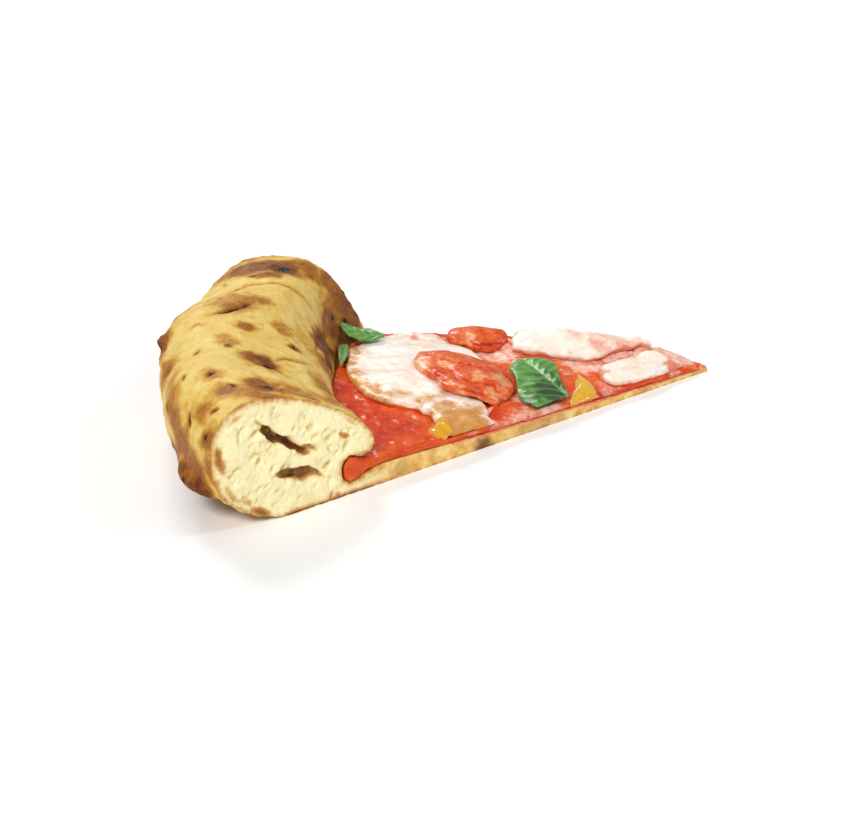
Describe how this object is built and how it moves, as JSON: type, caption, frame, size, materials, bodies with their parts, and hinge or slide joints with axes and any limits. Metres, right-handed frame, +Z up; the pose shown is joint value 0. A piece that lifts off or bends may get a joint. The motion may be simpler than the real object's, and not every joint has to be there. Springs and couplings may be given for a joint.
{
  "type": "cheese pizza slice",
  "caption": "Wedge slice of thin-based pizza with a thick puffed rim, tomato sauce, melted mozzarella, soft tomato, basil leaves and olive oil, lying flat.",
  "frame": {"origin": "middle of the slice's footprint, on its underside", "axes": "+Z up, +X towards the pointed tip along the middle of the wedge; the cut with the sauce pocket faces -Y"},
  "size_m": [0.147, 0.1102, 0.0298],
  "materials": {
    "baked_dough": "dry baked bread crust with a pale open crumb in the cuts",
    "tomato_sauce": "moist cooked tomato sauce",
    "mozzarella": "soft melted cheese, slightly shiny",
    "soft_tomato": "wet cooked tomato flesh",
    "olive_oil": "clear golden oil",
    "basil": "fresh leaf with a soft waxy shine"
  },
  "bodies": {
    "root": {"dough": "baked_dough", "tomato_sauce": "tomato_sauce", "mozzarella_by_rim": "mozzarella", "mozzarella_at_far_cut": "mozzarella", "mozzarella_at_tip": "mozzarella", "tomato_long_piece": "soft_tomato", "tomato_at_far_cut": "soft_tomato", "olive_oil_by_leaf": "olive_oil", "olive_oil_near_cut": "olive_oil", "basil_leaf_on_top": "basil", "basil_leaf_by_rim": "basil", "basil_strip_by_rim": "basil"}
  },
  "joints": []
}
